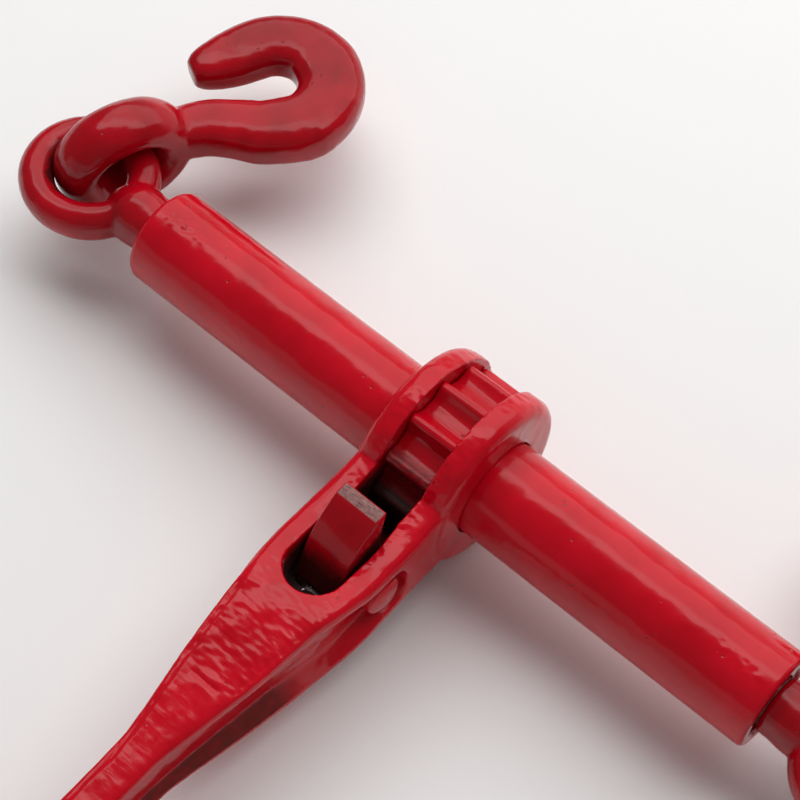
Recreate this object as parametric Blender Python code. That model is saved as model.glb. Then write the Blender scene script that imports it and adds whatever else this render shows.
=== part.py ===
"""Ratchet load binder: a barrel that draws two hooked eye bolts together.

Built in metres with the barrel along X, the handle towards -Y and Z up, then set down
so that the origin is the bottom centre of the whole object.
"""
import bmesh
import bpy
import math
from mathutils import Vector

MM = 0.001
GAP = 0.3 * MM                       # clearance kept between touching pieces

# Barrel
BARREL_R = 17.0 * MM
BARREL_BORE_R = 12.5 * MM
BARREL_HALF = 127.5 * MM
BARREL_EDGE = 1.0 * MM
NUT_LENGTH = 16.0 * MM
NUT_RECESS = 0.8 * MM

# Screw thread of both eye bolts: right-hand on the left, left-hand on the right
LEAD = 6.35 * MM
THREAD_ROOT_R = 9.1 * MM
THREAD_CREST_R = 11.0 * MM
THREAD_CREST = 2.0 * MM              # flat on top of the thread
THREAD_FLANK = 0.6 * MM              # axial width of one flank
THREAD_SIDES = 12
THREAD_TURNS = 17
FLANK_CLEARANCE = 0.35 * MM
NUT_GROOVE_R = 11.7 * MM
NUT_CREST_R = 9.9 * MM

# Inner end of each screw: a journal that carries the stop washer and its pin
JOURNAL_R = 7.0 * MM
SCREW_END_X = -2.5 * MM
WASHER_X = (-9.6 * MM, -7.2 * MM)
SHOULDER_X = WASHER_X[0] - GAP
THREAD_START_X = SHOULDER_X - (THREAD_TURNS + 1.25) * LEAD
WASHER_R = 12.1 * MM
STOP_PIN_X = -5.3 * MM
STOP_PIN_R = 1.5 * MM
STOP_PIN_HALF = 10.0 * MM

# Eye of the bolt, a flattened ring in the XY plane
EYE_X = -162.4 * MM
EYE_SEMI = (19.0 * MM, 17.5 * MM)    # centreline of the ring, along X and Y
EYE_BAR = (6.2 * MM, 6.75 * MM)     # half width in the plane, half height
NECK_PROFILE = ((-127.0, 8.9), (-127.9, 10.1), (-133.0, 10.1), (-136.5, 10.8), (-140.5, 10.9),
                (-146.0, 8.0), (-149.5, 4.5))

# Grab hook: its ring stands upright and threads the eye; u runs from the pivot along the hook
HOOK_PIVOT_X = -164.7 * MM           # the ring bears on the far side of the eye
HOOK_REST_DEG = 20.0                 # turned from +Y towards the barrel
HOOK_RING_CENTRE = 16.5 * MM
HOOK_RING_SEMI = (16.5 * MM, 14.0 * MM)
HOOK_RING_BAR = (6.3 * MM, 9.6 * MM)  # radial half width, half breadth
HOOK_BOWL = (74.0 * MM, 1.0 * MM)
HOOK_BOWL_R = 19.0 * MM
HOOK_BOWL_HALF = 12.0                # half width of the bowl, in millimetres like the stations below
# u, v, half width, half thickness, in millimetres
HOOK_SHANK = ((29.0, 0.0, 8.5, 7.5), (40.0, -1.0, 9.2, 8.0), (51.0, -6.0, 10.0, 8.0),
              (62.0, -14.0, 11.2, 8.5))
HOOK_TIP = ((62.0, 20.4, 9.6, 7.2), (54.0, 21.0, 7.2, 6.2), (50.0, 21.2, 4.6, 4.2))

# Ratchet gear on the barrel
GEAR_TEETH = 12
GEAR_TIP_R = 29.0 * MM
GEAR_ROOT_R = 24.6 * MM
GEAR_HALF = 9.2 * MM
GEAR_PHASE_DEG = 11.0                # first ridge, from -Y towards +Z
RIDGE_HALF_DEG = 3.6

# Handle
SLOT_HALF = 10.0 * MM
SLOT_END_Y = -73.0 * MM
HEAD_R = 30.4 * MM
HEAD_HALF = 18.3 * MM
HEAD_EDGE = 4.0 * MM
HANDLE_BORE_R = 17.4 * MM
# y, half width, half height, corner radius of the arm and the grip
ARM_SECTIONS = (
    (-12.0, 17.8, 22.0, 4.5), (-28.0, 18.1, 18.6, 5.0), (-38.0, 18.2, 17.2, 5.0), (-48.0, 18.2, 17.0, 5.0),
    (-60.0, 18.1, 17.8, 5.0), (-70.0, 16.8, 19.2, 5.0), (-80.0, 15.2, 20.2, 5.0), (-90.0, 14.2, 18.4, 4.8),
    (-100.0, 13.1, 16.4, 4.5), (-110.0, 11.6, 15.6, 4.2), (-120.0, 9.8, 15.3, 4.0), (-130.0, 8.0, 15.1, 3.6),
    (-140.0, 6.8, 14.8, 3.2), (-165.0, 6.7, 14.2, 3.2), (-230.0, 6.7, 14.0, 3.2), (-300.0, 7.2, 14.4, 3.4),
    (-312.0, 7.0, 12.6, 3.4), (-318.0, 5.0, 8.5, 3.0))
# y, half thickness of the web, half height of the side pocket
POCKET_SECTIONS = (
    (-42.5, 13.4, 3.5), (-44.5, 13.4, 7.0), (-50.0, 13.4, 9.6), (-62.0, 13.4, 10.6), (-75.0, 12.2, 12.4),
    (-88.0, 9.6, 12.2), (-104.0, 7.4, 10.4), (-122.0, 5.4, 9.8), (-140.0, 3.6, 9.4), (-170.0, 3.2, 9.0),
    (-285.0, 3.2, 9.0), (-292.0, 3.2, 7.0), (-295.0, 3.2, 4.0))

# Pawl, its rivet and the spring plunger behind it
PIN_Y = -51.0 * MM
PIN_R = 4.75 * MM
PIN_HEAD_R = 6.3 * MM
PIN_HEAD_X = (13.7 * MM, 16.4 * MM)
PAWL_HALF = 8.2 * MM
PAWL_BORE_R = 5.1 * MM
PAWL_FLIP_DEG = 21.0                 # from the middle to either engaged position
PAWL_BACK = 13.5 * MM                # distance of the three back flats from the pivot
PAWL_HORN = ((0.8, 19.0), (15.4, 24.0), (20.9, 22.4), (15.0, 14.5), (10.6, 6.0))
PLUNGER_R = 4.0 * MM
PLUNGER_BORE_R = 4.4 * MM
PLUNGER_Y = (-65.0 * MM, -84.0 * MM)
PLUNGER_BORE_END = -98.5 * MM
SPRING_WIRE_R = 0.6 * MM
SPRING_R = 2.9 * MM
SPRING_TURNS = 6

SEGMENTS = 48


def clear_scene():
    for item in list(bpy.data.objects):
        bpy.data.objects.remove(item, do_unlink=True)


def make_material(name, colour, roughness, metallic):
    material = bpy.data.materials.new(name)
    material.use_nodes = True
    shader = material.node_tree.nodes["Principled BSDF"]
    shader.inputs["Base Color"].default_value = (*colour, 1.0)
    shader.inputs["Roughness"].default_value = roughness
    shader.inputs["Metallic"].default_value = metallic
    return material


def add_object(name, bm, material, parent, location=(0, 0, 0), rotation=(0, 0, 0)):
    bmesh.ops.recalc_face_normals(bm, faces=bm.faces)
    mesh = bpy.data.meshes.new(name)
    bm.to_mesh(mesh)
    bm.free()
    mesh.shade_smooth()
    mesh.set_sharp_from_angle(angle=math.radians(35))
    item = bpy.data.objects.new(name, mesh)
    bpy.context.scene.collection.objects.link(item)
    item.data.materials.append(material)
    item.parent = parent
    item.location = location
    item.rotation_euler = rotation
    return item


def combine(target, bm, name, operation, location=(0, 0, 0), rotation=(0, 0, 0)):
    """Cut from or join to the target a hidden tool, placed in the target's own frame."""
    tool = add_object(name, bm, target.data.materials[0], target, location, rotation)
    tool.hide_render = True
    tool.display_type = "WIRE"
    modifier = target.modifiers.new(name, "BOOLEAN")
    modifier.operation = operation
    modifier.solver = "EXACT"
    modifier.object = tool


def bridge(bm, first, second):
    count = len(first)
    for i in range(count):
        j = (i + 1) % count
        bm.faces.new((first[i], first[j], second[j], second[i]))


def loft(rings, closed=False):
    """Skin through rings of points; the ends are capped unless the rings close on themselves."""
    bm = bmesh.new()
    verts = [[bm.verts.new(point) for point in ring] for ring in rings]
    for first, second in zip(verts, verts[1:]):
        bridge(bm, first, second)
    if closed:
        bridge(bm, verts[-1], verts[0])
    else:
        bm.faces.new(verts[0])
        bm.faces.new(list(reversed(verts[-1])))
    return bm


def circle_x(x, radius, segments=SEGMENTS):
    angles = [math.tau * i / segments for i in range(segments)]
    return [(x, -radius * math.cos(a), radius * math.sin(a)) for a in angles]


def turned(profile, segments=SEGMENTS, hollow=False):
    """Turn a profile of (x, radius) points about the X axis."""
    return loft([circle_x(x, radius, segments) for x, radius in profile], closed=hollow)


def prism(outline, half):
    """Extrude a (y, z) outline to plus and minus half along X."""
    return loft([[(x, y, z) for y, z in outline] for x in (-half, half)])


def rounded_rectangle(y, half_width, half_height, radius, steps=3):
    """A ring in the XZ plane at y."""
    ring = []
    for quarter in range(4):
        for step in range(steps + 1):
            angle = math.pi / 2 * (quarter + step / steps)
            side_x = 1 if quarter in (0, 3) else -1
            side_z = 1 if quarter in (0, 1) else -1
            ring.append((side_x * (half_width - radius) + radius * math.cos(angle), y,
                         side_z * (half_height - radius) + radius * math.sin(angle)))
    return ring


def swept_ring(centre, semi, bar, plane_axes, path_steps, bar_steps):
    """A closed ring whose bar is an ellipse: bar[0] radially, bar[1] across the plane."""
    axis_a, axis_b = plane_axes
    across = axis_a.cross(axis_b)
    rings = []
    for i in range(path_steps):
        angle = math.tau * i / path_steps
        point = centre + axis_a * semi[0] * math.cos(angle) + axis_b * semi[1] * math.sin(angle)
        normal = (axis_a * math.cos(angle) / semi[0] + axis_b * math.sin(angle) / semi[1]).normalized()
        rings.append([point + normal * bar[0] * math.cos(t) + across * bar[1] * math.sin(t)
                      for t in (math.tau * j / bar_steps for j in range(bar_steps))])
    return loft(rings, closed=True)


def thread_skin(bm, start_x, turns, root_r, crest_r, crest, flank):
    """Helical skin about X, right-hand; returns its end rings for the next surface to join."""
    sides = THREAD_SIDES
    profile = ((0.0, root_r), (flank, crest_r), (flank + crest, crest_r), (2 * flank + crest, root_r))
    per_turn = len(profile)
    rows = turns * per_turn + 1

    def point(x, radius, k):
        angle = math.tau * k / sides
        return bm.verts.new((x, radius * math.cos(angle), radius * math.sin(angle)))

    grid = []
    for row in range(rows):
        offset, radius = profile[row % per_turn]
        base = start_x + row // per_turn * LEAD + offset
        grid.append([point(base + LEAD * k / sides, radius, k) for k in range(sides)])
    first = [point(start_x - LEAD / 4, root_r, k) for k in range(sides)]
    end_x = start_x + (turns + 1.25) * LEAD
    last = [point(end_x, root_r, k) for k in range(sides)]

    for row in range(rows - 1):
        for k in range(sides - 1):
            bm.faces.new((grid[row][k], grid[row][k + 1], grid[row + 1][k + 1], grid[row + 1][k]))
        if row + per_turn + 1 < rows:
            bm.faces.new((grid[row][-1], grid[row + per_turn][0], grid[row + per_turn + 1][0],
                          grid[row + 1][-1]))
    for k in range(sides - 1):
        bm.faces.new((first[k], first[k + 1], grid[0][k + 1], grid[0][k]))
        bm.faces.new((grid[-1][k], grid[-1][k + 1], last[k + 1], last[k]))
    top = rows - 1
    start_fan = [first[0]] + [grid[row][0] for row in range(per_turn + 1)] + [grid[0][-1]]
    end_fan = [last[0], last[-1]] + [grid[row][-1] for row in range(top, top - per_turn - 1, -1)]
    for hub, fan in ((first[-1], start_fan), (grid[top][0], end_fan)):
        for one, two in zip(fan, fan[1:]):
            bm.faces.new((hub, one, two))
    return first, last


def mirrored(bm, side):
    """Left-hand pieces are modelled on the -X side; side +1 mirrors them."""
    if side > 0:
        bmesh.ops.scale(bm, vec=(-1, 1, 1), verts=bm.verts)
    return bm


def side_name(side):
    return "left" if side < 0 else "right"


def build_barrel_tube(paint, root):
    half, edge = BARREL_HALF, BARREL_EDGE
    profile = ((-half, BARREL_BORE_R), (-half, BARREL_R - edge), (-half + 0.3 * edge, BARREL_R - 0.3 * edge),
               (-half + edge, BARREL_R), (half - edge, BARREL_R), (half - 0.3 * edge, BARREL_R - 0.3 * edge),
               (half, BARREL_R - edge), (half, BARREL_BORE_R))
    add_object("barrel_tube", turned(profile, hollow=True), paint, root)


def build_end_nut(side, steel, root):
    bm = bmesh.new()
    crest = THREAD_CREST + 2 * FLANK_CLEARANCE
    start = THREAD_START_X - FLANK_CLEARANCE - 2 * LEAD
    first, last = thread_skin(bm, start, 6, NUT_CREST_R, NUT_GROOVE_R, crest, THREAD_FLANK)
    bm.faces.new(first)
    bm.faces.new(last)
    outer = BARREL_BORE_R - GAP
    inner_x = -BARREL_HALF + NUT_LENGTH
    body = turned(((-BARREL_HALF + NUT_RECESS, outer), (inner_x, outer)))
    nut = add_object(side_name(side) + "_end_nut", mirrored(body, side), steel, root)
    combine(nut, mirrored(bm, side), side_name(side) + "_tap", "DIFFERENCE")


def build_eye_bolt(side, paint, root):
    bm = bmesh.new()
    first, last = thread_skin(bm, THREAD_START_X, THREAD_TURNS, THREAD_ROOT_R, THREAD_CREST_R,
                              THREAD_CREST, THREAD_FLANK)
    bm.faces.new(first)
    rings = []
    for x, radius in ((SHOULDER_X, JOURNAL_R), (SCREW_END_X - 1.0 * MM, JOURNAL_R),
                      (SCREW_END_X, JOURNAL_R - 1.0 * MM)):
        angles = [math.tau * k / THREAD_SIDES for k in range(THREAD_SIDES)]
        rings.append([bm.verts.new((x, radius * math.cos(a), radius * math.sin(a))) for a in angles])
    for one, two in zip([last] + rings, rings):
        bridge(bm, one, two)
    bm.faces.new(rings[-1])
    name = side_name(side) + "_eye_bolt"
    bolt = add_object(name, mirrored(bm, side), paint, root)
    neck = turned([(x * MM, radius * MM) for x, radius in NECK_PROFILE], 24)
    combine(bolt, mirrored(neck, side), name + "_neck", "UNION")
    ring = swept_ring(Vector((EYE_X, 0, 0)), EYE_SEMI, EYE_BAR,
                      (Vector((1, 0, 0)), Vector((0, 1, 0))), 28, 10)
    combine(bolt, mirrored(ring, side), name + "_ring", "UNION")
    hole = turned(((-STOP_PIN_HALF * 2, STOP_PIN_R + GAP), (STOP_PIN_HALF * 2, STOP_PIN_R + GAP)), 12)
    combine(bolt, hole, name + "_pin_hole", "DIFFERENCE", (side * -STOP_PIN_X, 0, 0), (0, math.pi / 2, 0))


def build_stop(side, steel, root):
    name = side_name(side)
    inner = JOURNAL_R + GAP
    washer = turned(((WASHER_X[0], inner), (WASHER_X[0], WASHER_R), (WASHER_X[1], WASHER_R),
                     (WASHER_X[1], inner)), 32, hollow=True)
    add_object(name + "_stop_washer", mirrored(washer, side), steel, root)
    half, chamfer = STOP_PIN_HALF, 0.4 * MM
    pin = turned(((-half, STOP_PIN_R - chamfer), (-half + chamfer, STOP_PIN_R), (half - chamfer, STOP_PIN_R),
                  (half, STOP_PIN_R - chamfer)), 12)
    add_object(name + "_stop_pin", pin, steel, root, (side * -STOP_PIN_X, 0, 0), (0, math.pi / 2, 0))


def hook_stations():
    """The hook's centreline with its half width and half thickness, shank to tip."""
    stations = list(HOOK_SHANK)
    for degrees in range(-90, 91, 30):
        angle = math.radians(degrees)
        u = HOOK_BOWL[0] + HOOK_BOWL_R * math.cos(angle)
        v = HOOK_BOWL[1] + HOOK_BOWL_R * math.sin(angle)
        stations.append((u / MM, v / MM, HOOK_BOWL_HALF - 1.2 * max(0.0, math.sin(angle)), 8.5))
    return stations + list(HOOK_TIP)


def build_grab_hook(side, paint, root):
    stations = hook_stations()
    rings = []
    for i, (u, v, half_width, half_thickness) in enumerate(stations):
        ahead = stations[min(i + 1, len(stations) - 1)]
        behind = stations[max(i - 1, 0)]
        along = Vector((ahead[0] - behind[0], ahead[1] - behind[1])).normalized()
        ring = []
        for j in range(12):
            angle = math.tau * j / 12
            across = half_width * math.copysign(abs(math.cos(angle)) ** 0.75, math.cos(angle))
            rise = half_thickness * math.copysign(abs(math.sin(angle)) ** 0.75, math.sin(angle))
            ring.append(((u - along.y * across) * MM, (v + along.x * across) * MM, rise * MM))
        rings.append(ring)
    name = side_name(side) + "_grab_hook"
    turn = math.radians(90 + side * HOOK_REST_DEG)
    body = loft(rings)
    if side > 0:
        bmesh.ops.scale(body, vec=(1, -1, 1), verts=body.verts)
    hook = add_object(name, body, paint, root, (side * -HOOK_PIVOT_X, 0, 0), (0, 0, turn))
    ring = swept_ring(Vector((HOOK_RING_CENTRE, 0, 0)), HOOK_RING_SEMI, HOOK_RING_BAR,
                      (Vector((1, 0, 0)), Vector((0, 0, 1))), 24, 10)
    combine(hook, ring, name + "_ring", "UNION")


def build_ratchet_gear(paint, root):
    """Narrow rounded ridges with wide concave flutes between them."""
    pitch = 360.0 / GEAR_TEETH
    outline = []
    for tooth in range(GEAR_TEETH):
        centre = GEAR_PHASE_DEG + tooth * pitch
        for fraction in (-1.0, -0.5, 0.5, 1.0):
            drop = 1.6 * MM if abs(fraction) == 1.0 else 0.0
            outline.append((centre + fraction * RIDGE_HALF_DEG, GEAR_TIP_R - drop))
        for fraction in (0.06, 0.3, 0.7, 0.94):
            start = centre + RIDGE_HALF_DEG
            depth = GEAR_ROOT_R if 0.2 < fraction < 0.8 else GEAR_ROOT_R + 1.2 * MM
            outline.append((start + fraction * (pitch - 2 * RIDGE_HALF_DEG), depth))
    points = []
    for degrees, radius in outline:
        angle = math.radians(degrees)
        points.append((-radius * math.cos(angle), radius * math.sin(angle)))
    gear = add_object("ratchet_gear", prism(points, GEAR_HALF), paint, root)
    bore_r = BARREL_R + GAP
    combine(gear, turned(((-2 * GEAR_HALF, bore_r), (2 * GEAR_HALF, bore_r))), "gear_bore", "DIFFERENCE")


def slot_tool():
    """Upright slot, open past the head, with a round inner end."""
    outline = [(SLOT_HALF, 2 * HEAD_R), (-SLOT_HALF, 2 * HEAD_R)]
    centre_y = SLOT_END_Y + SLOT_HALF
    for i in range(13):
        angle = math.pi * (1 + i / 12)
        outline.append((SLOT_HALF * math.cos(angle), centre_y + SLOT_HALF * math.sin(angle)))
    return loft([[(x, y, z) for x, y in outline] for z in (-2 * HEAD_R, 2 * HEAD_R)])


def pocket_tool(side):
    rings = []
    for y, web, half_height in POCKET_SECTIONS:
        near, far = side * web * MM, side * 30.0 * MM
        rings.append([(near, y * MM, -half_height * MM), (near, y * MM, half_height * MM),
                      (far, y * MM, (half_height + 2.0) * MM), (far, y * MM, -(half_height + 2.0) * MM)])
    return loft(rings)


def build_handle(paint, root):
    sections = [rounded_rectangle(*(value * MM for value in section)) for section in ARM_SECTIONS]
    handle = add_object("handle", loft(sections), paint, root)
    side, edge = HEAD_HALF, HEAD_EDGE
    half = ((side - edge, HEAD_R), (side - 0.3 * edge, HEAD_R - 0.3 * edge), (side, HEAD_R - edge))
    head = turned([(-x, radius) for x, radius in reversed(half)] + list(half))
    combine(handle, head, "handle_head", "UNION")
    combine(handle, slot_tool(), "handle_slot", "DIFFERENCE")
    bore = turned(((-2 * side, HANDLE_BORE_R), (2 * side, HANDLE_BORE_R)))
    combine(handle, bore, "handle_bore", "DIFFERENCE")
    for sign in (-1, 1):
        combine(handle, pocket_tool(sign), "handle_pocket_" + side_name(sign), "DIFFERENCE")
    pin_hole = turned(((-2 * side, PIN_R + GAP), (2 * side, PIN_R + GAP)), 24)
    combine(handle, pin_hole, "handle_pin_hole", "DIFFERENCE", (0, PIN_Y, 0))
    length = abs(PLUNGER_BORE_END - PLUNGER_Y[0]) + 4 * MM
    plunger_bore = turned(((0, PLUNGER_BORE_R), (length, PLUNGER_BORE_R)), 24)
    combine(handle, plunger_bore, "handle_plunger_bore", "DIFFERENCE", (0, PLUNGER_BORE_END, 0),
            (0, 0, math.pi / 2))


def pawl_outline():
    """Toothed horn above and below, and three back flats for the plunger, about the pivot."""
    half_flat = PAWL_BACK * math.tan(math.radians(PAWL_FLIP_DEG / 2))
    turn = math.radians(PAWL_FLIP_DEG)
    run = half_flat + 5.0 * MM
    corner = (-PAWL_BACK, half_flat)
    flat_end = (corner[0] + run * math.sin(turn), corner[1] + run * math.cos(turn))
    upper = [corner, flat_end] + [(u * MM, v * MM) for u, v in PAWL_HORN]
    lower = [(u, -v) for u, v in reversed(upper)]
    return upper + lower


def build_pawl(steel, root):
    pawl = add_object("pawl", prism(pawl_outline(), PAWL_HALF), steel, root, (0, PIN_Y, 0),
                      (math.radians(PAWL_FLIP_DEG), 0, 0))
    bore = turned(((-2 * PAWL_HALF, PAWL_BORE_R), (2 * PAWL_HALF, PAWL_BORE_R)), 24)
    combine(pawl, bore, "pawl_bore", "DIFFERENCE")


def build_pawl_pin(steel, root):
    inner, outer = PIN_HEAD_X
    half = ((inner, PIN_R), (inner, PIN_HEAD_R), (inner + 0.8 * MM, PIN_HEAD_R),
            (outer - 0.7 * MM, 0.8 * PIN_HEAD_R), (outer, 0.4 * PIN_HEAD_R))
    profile = [(-x, radius) for x, radius in reversed(half)] + list(half)
    add_object("pawl_pin", turned(profile, 24), steel, root, (0, PIN_Y, 0))


def build_plunger(steel, root):
    nose, tail = PLUNGER_Y
    length = nose - tail
    profile = ((0.0, PLUNGER_R), (length - 2.5 * MM, PLUNGER_R), (length - 0.8 * MM, 0.75 * PLUNGER_R),
               (length, 0.35 * PLUNGER_R))
    add_object("plunger", turned(profile, 24), steel, root, (0, tail, 0), (0, 0, math.pi / 2))


def build_plunger_spring(steel, root):
    start = PLUNGER_BORE_END + SPRING_WIRE_R + GAP
    end = PLUNGER_Y[1] - SPRING_WIRE_R - GAP
    curve = bpy.data.curves.new("plunger_spring", "CURVE")
    curve.dimensions = "3D"
    curve.bevel_depth = SPRING_WIRE_R
    curve.bevel_resolution = 1
    curve.use_fill_caps = True
    curve.materials.append(steel)
    steps = 10 * SPRING_TURNS
    spline = curve.splines.new("POLY")
    spline.points.add(steps)
    for i, point in enumerate(spline.points):
        angle = math.tau * i / 10
        y = start + (end - start) * i / steps
        point.co = (SPRING_R * math.cos(angle), y, SPRING_R * math.sin(angle), 1)
    item = bpy.data.objects.new("plunger_spring", curve)
    bpy.context.scene.collection.objects.link(item)
    item.parent = root


def set_down(root):
    """Move the root so that the origin is the bottom centre of everything that stays."""
    bpy.context.view_layer.update()
    depsgraph = bpy.context.evaluated_depsgraph_get()
    points = []
    for item in bpy.context.scene.objects:
        if item.type in ("MESH", "CURVE") and not item.hide_render:
            evaluated = item.evaluated_get(depsgraph)
            mesh = evaluated.to_mesh()
            points += [evaluated.matrix_world @ vertex.co for vertex in mesh.vertices]
            evaluated.to_mesh_clear()
    ys = [point.y for point in points]
    root.location = (0.0, -(min(ys) + max(ys)) / 2, -min(point.z for point in points))
    bpy.context.view_layer.update()


def main():
    clear_scene()
    root = bpy.data.objects.new("binder_centre", None)
    bpy.context.scene.collection.objects.link(root)
    barrel_paint = make_material("barrel_paint", (0.47, 0.004, 0.013), 0.22, 0.0)
    handle_paint = make_material("handle_paint", (0.45, 0.004, 0.013), 0.28, 0.0)
    fitting_paint = make_material("fitting_paint", (0.36, 0.004, 0.011), 0.26, 0.0)
    pawl_paint = make_material("pawl_paint", (0.25, 0.004, 0.008), 0.3, 0.0)
    steel = make_material("steel", (0.32, 0.31, 0.30), 0.4, 1.0)
    spring_steel = make_material("spring_steel", (0.45, 0.44, 0.42), 0.3, 1.0)
    build_barrel_tube(barrel_paint, root)
    build_ratchet_gear(fitting_paint, root)
    build_handle(handle_paint, root)
    build_pawl(pawl_paint, root)
    build_pawl_pin(fitting_paint, root)
    build_plunger(steel, root)
    build_plunger_spring(spring_steel, root)
    for side in (-1, 1):
        build_end_nut(side, steel, root)
        build_eye_bolt(side, fitting_paint, root)
        build_stop(side, steel, root)
        build_grab_hook(side, fitting_paint, root)
    set_down(root)


main()
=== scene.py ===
"""Looks of the ratchet load binder: forged, welded and threaded pieces in glossy red enamel.

Every piece is modelled about the centre of the barrel, in metres, with the barrel along X,
the handle towards -Y and Z up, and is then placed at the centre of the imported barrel.
"""
import math

import bmesh
import bpy
import numpy as np
from mathutils import Matrix, Vector, noise


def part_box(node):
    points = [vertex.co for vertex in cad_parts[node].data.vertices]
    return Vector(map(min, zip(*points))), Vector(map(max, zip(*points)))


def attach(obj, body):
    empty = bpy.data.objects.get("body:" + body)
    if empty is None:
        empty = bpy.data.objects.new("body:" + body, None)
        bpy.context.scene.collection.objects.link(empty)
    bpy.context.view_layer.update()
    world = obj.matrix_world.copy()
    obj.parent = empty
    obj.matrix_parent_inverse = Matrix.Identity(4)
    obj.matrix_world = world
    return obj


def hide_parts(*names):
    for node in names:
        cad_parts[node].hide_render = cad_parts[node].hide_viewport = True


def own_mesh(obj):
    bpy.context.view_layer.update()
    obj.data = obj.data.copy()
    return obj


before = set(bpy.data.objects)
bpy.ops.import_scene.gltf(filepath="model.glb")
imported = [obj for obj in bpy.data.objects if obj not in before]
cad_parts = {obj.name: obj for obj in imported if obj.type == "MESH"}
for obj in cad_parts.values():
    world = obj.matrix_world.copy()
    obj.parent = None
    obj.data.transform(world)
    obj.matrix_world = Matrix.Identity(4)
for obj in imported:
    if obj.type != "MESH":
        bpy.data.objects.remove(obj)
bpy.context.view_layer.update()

MM = 0.001
barrel_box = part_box("barrel_tube")
CENTRE = (Vector(barrel_box[0]) + Vector(barrel_box[1])) / 2

BARREL_R = 17.0 * MM
BARREL_HALF = 127.5 * MM
BARREL_BORE_R = 12.5 * MM

LEAD = 6.35 * MM
THREAD_TURNS = 17
THREAD_ROOT_R = 9.1 * MM
THREAD_CREST_R = 11.0 * MM
THREAD_CREST = 2.0 * MM
THREAD_FLANK = 0.6 * MM
SHOULDER_X = -9.9 * MM
THREAD_START_X = SHOULDER_X - (THREAD_TURNS + 1.25) * LEAD
JOURNAL_R = 7.0 * MM
SCREW_END_X = -2.5 * MM

EYE_X = -162.4 * MM
HOOK_PIVOT_X = -164.7 * MM
HOOK_REST_DEG = 20.0
HOOK_BOWL = (74.0, 1.0)              # millimetres from the pivot, like every hook station
HOOK_BOWL_R = 19.0                   # millimetres

GEAR_TEETH = 12
GEAR_TIP_R = 28.9 * MM
GEAR_ROOT_R = 24.6 * MM
GEAR_HALF = 8.7 * MM
GEAR_PHASE_DEG = 11.0

# The handle, the pawl and the hooks are built in millimetres, and scaled when their points are made.
SLOT_HALF = 10.0
SLOT_LOWER_HALF = 9.4
HEAD_SLOT_HALF = 9.0
SLOT_END_Y = -73.0
HEAD_R = 30.8
HEAD_HALF = 18.2
HANDLE_BORE_R = 17.4
PLUNGER_BORE_R = 4.4

PIN_Y = -51.0 * MM
PAWL_FLIP_DEG = 21.0
PAWL_BACK = 13.5
PAWL_HALF = 8.2

HANDLE_VOXEL = 0.6 * MM
FITTING_VOXEL = 0.7 * MM

CAMERA_AZIMUTH_DEG = 41.35
CAMERA_ELEVATION_DEG = 60.19
CAMERA_OFFSET = (0.2116, -0.2650, 0.6260)
SENSOR_MM = 36.0
LENS_MM = 101.0
WORLD_STRENGTH = 0.12


# ---------------------------------------------------------------- mesh helpers

def new_object(name, mesh, location=CENTRE, rotation=(0, 0, 0)):
    item = bpy.data.objects.new(name, mesh)
    bpy.context.scene.collection.objects.link(item)
    item.location = location
    item.rotation_euler = rotation
    return item


def finish_bmesh(bm, name):
    bmesh.ops.recalc_face_normals(bm, faces=bm.faces)
    mesh = bpy.data.meshes.new(name)
    bm.to_mesh(mesh)
    bm.free()
    return mesh


def loft(rings, closed=False):
    """Skin through rings of points, capped unless the rings close on themselves."""
    bm = bmesh.new()
    verts = [[bm.verts.new(point) for point in ring] for ring in rings]
    pairs = list(zip(verts, verts[1:]))
    if closed:
        pairs.append((verts[-1], verts[0]))
    for first, second in pairs:
        for i in range(len(first)):
            j = (i + 1) % len(first)
            bm.faces.new((first[i], first[j], second[j], second[i]))
    if not closed:
        bm.faces.new(verts[0])
        bm.faces.new(list(reversed(verts[-1])))
    return bm


def circle_x(x, radius, segments):
    angles = [math.tau * i / segments for i in range(segments)]
    return [(x, -radius * math.cos(a), radius * math.sin(a)) for a in angles]


def turned(profile, segments=96, hollow=False):
    return loft([circle_x(x, radius, segments) for x, radius in profile], closed=hollow)


def shaded(mesh, angle=40):
    mesh.shade_smooth()
    mesh.set_sharp_from_angle(angle=math.radians(angle))
    return mesh


def baked_mesh(item, name):
    """The item's mesh with its modifiers applied; the item itself is removed."""
    graph = bpy.context.evaluated_depsgraph_get()
    mesh = bpy.data.meshes.new_from_object(item.evaluated_get(graph))
    mesh.name = name
    bpy.data.objects.remove(item, do_unlink=True)
    return mesh


def forged(name, solids, cutters, voxel, smoothing):
    """Unite the solids, cut the cutters, then melt every edge as a forging's edges are."""
    base = new_object(name + "_base", finish_bmesh(solids[0], name), (0, 0, 0))
    tools = []
    for operation, shapes in (("UNION", solids[1:]), ("DIFFERENCE", cutters)):
        for shape in shapes:
            tool = new_object(name + "_tool", finish_bmesh(shape, name + "_tool"), (0, 0, 0))
            modifier = base.modifiers.new(operation.title(), "BOOLEAN")
            modifier.operation = operation
            modifier.solver = "EXACT"
            modifier.object = tool
            tools.append(tool)
    remesh = base.modifiers.new("Remesh", "REMESH")
    remesh.mode = "VOXEL"
    remesh.voxel_size = voxel
    smooth = base.modifiers.new("Smooth", "SMOOTH")
    smooth.factor = 0.5
    smooth.iterations = smoothing
    mesh = baked_mesh(base, name)
    for tool in tools:
        bpy.data.objects.remove(tool, do_unlink=True)
    mesh.shade_smooth()
    return mesh


def sculpt(mesh, height):
    """Move each vertex along its normal by height(point, normal)."""
    normals = [vertex.normal.copy() for vertex in mesh.vertices]
    for vertex, normal in zip(mesh.vertices, normals):
        vertex.co += normal * height(vertex.co, normal)
    mesh.update()


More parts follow.
